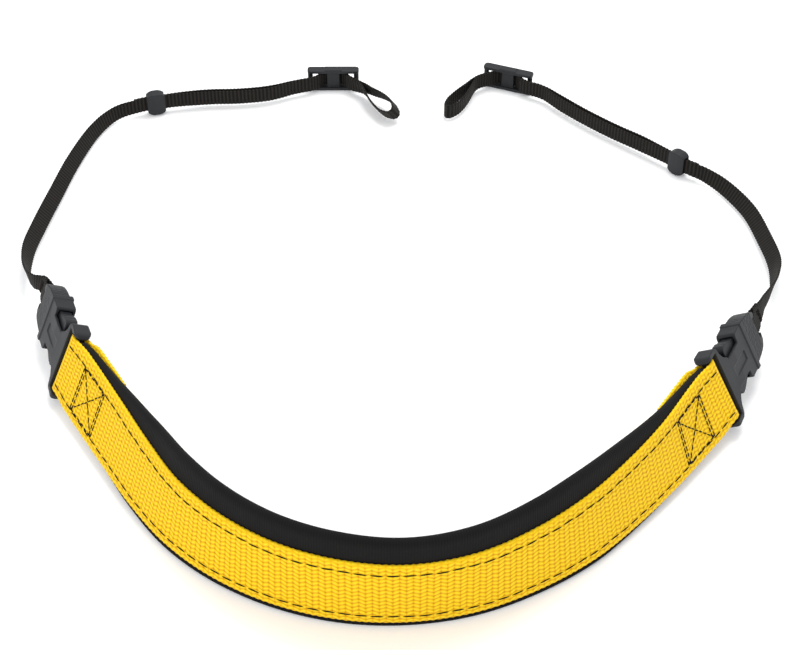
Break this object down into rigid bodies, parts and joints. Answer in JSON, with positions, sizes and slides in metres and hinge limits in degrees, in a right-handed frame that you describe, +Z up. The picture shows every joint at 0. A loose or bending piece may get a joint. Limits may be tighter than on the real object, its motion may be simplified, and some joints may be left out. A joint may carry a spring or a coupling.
{
  "type": "padded neck strap",
  "caption": "Curved padded neck strap with a side-release buckle at each end and a thin adjustable webbing loop on each buckle.",
  "frame": {"origin": "middle of the bounding box, on the surface the strap stands on", "axes": "+X to the right, +Y from the pad towards the two loops, +Z up across the webbing"},
  "size_m": [0.4326, 0.4663, 0.0532],
  "materials": {
    "webbing": "woven herringbone",
    "neoprene": "smooth jersey faced",
    "thread": "bonded thread",
    "plastic": "satin moulded",
    "ribbon": "ribbed weave"
  },
  "bodies": {
    "pad": {"neoprene_pad": "neoprene", "webbing_band": "webbing", "upper_edge_thread": "thread", "lower_edge_thread": "thread", "left_box_thread": "thread", "right_box_thread": "thread"},
    "left_housing": {"left_buckle_housing": "plastic"},
    "left_strap": {"left_buckle_male": "plastic", "left_thin_webbing": "ribbon", "left_fold_tack": "thread", "left_tri_glide": "plastic"},
    "left_upper_prong": {"left_upper_prong": "plastic"},
    "left_lower_prong": {"left_lower_prong": "plastic"},
    "left_keeper": {"left_keeper": "plastic"},
    "right_housing": {"right_buckle_housing": "plastic"},
    "right_strap": {"right_buckle_male": "plastic", "right_thin_webbing": "ribbon", "right_fold_tack": "thread", "right_tri_glide": "plastic"},
    "right_upper_prong": {"right_upper_prong": "plastic"},
    "right_lower_prong": {"right_lower_prong": "plastic"},
    "right_keeper": {"right_keeper": "plastic"}
  },
  "joints": [
    {"name": "left_housing_swing", "type": "hinge", "parent": "pad", "child": "left_housing", "pos_m": [-0.16932, -0.07896, 0.02266], "axis": [0.3929, 0.168, 0.9041], "range_deg": [-3, 20]},
    {"name": "left_release", "type": "slide", "parent": "left_housing", "child": "left_strap", "axis": [-0.3418, 0.9394, -0.026], "range_m": [0, 0.008]},
    {"name": "left_upper_prong_flex", "type": "hinge", "parent": "left_strap", "child": "left_upper_prong", "pos_m": [-0.17911, -0.03983, 0.03048], "axis": [0.8537, 0.2987, -0.4265], "range_deg": [0, 11]},
    {"name": "left_lower_prong_flex", "type": "hinge", "parent": "left_strap", "child": "left_lower_prong", "pos_m": [-0.18681, -0.04312, 0.01276], "axis": [-0.8537, -0.2987, 0.4265], "range_deg": [0, 11]},
    {"name": "left_keeper_slide", "type": "slide", "parent": "left_strap", "child": "left_keeper", "axis": [0.9666, 0.2564, 0], "range_m": [0, 0.003]},
    {"name": "right_housing_swing", "type": "hinge", "parent": "pad", "child": "right_housing", "pos_m": [0.1601, -0.09976, 0.0231], "axis": [0.4442, -0.2591, -0.8577], "range_deg": [-3, 20]},
    {"name": "right_release", "type": "slide", "parent": "right_housing", "child": "right_strap", "axis": [0.4271, 0.9028, -0.0516], "range_m": [0, 0.008]},
    {"name": "right_upper_prong_flex", "type": "hinge", "parent": "right_strap", "child": "right_upper_prong", "pos_m": [0.17278, -0.0612, 0.02945], "axis": [0.7876, -0.3434, 0.5116], "range_deg": [0, 11]},
    {"name": "right_lower_prong_flex", "type": "hinge", "parent": "right_strap", "child": "right_lower_prong", "pos_m": [0.18149, -0.06628, 0.01264], "axis": [-0.7876, 0.3434, -0.5116], "range_deg": [0, 11]},
    {"name": "right_keeper_slide", "type": "slide", "parent": "right_strap", "child": "right_keeper", "axis": [-0.6979, 0.7162, 0], "range_m": [-0.002, 0.003]}
  ],
  "couplings": [
    {"joint": "left_upper_prong_flex", "follows": "left_release", "rad_per_m": 19.8},
    {"joint": "left_lower_prong_flex", "follows": "left_release", "rad_per_m": 19.8},
    {"joint": "right_upper_prong_flex", "follows": "right_release", "rad_per_m": 19.8},
    {"joint": "right_lower_prong_flex", "follows": "right_release", "rad_per_m": 19.8}
  ]
}
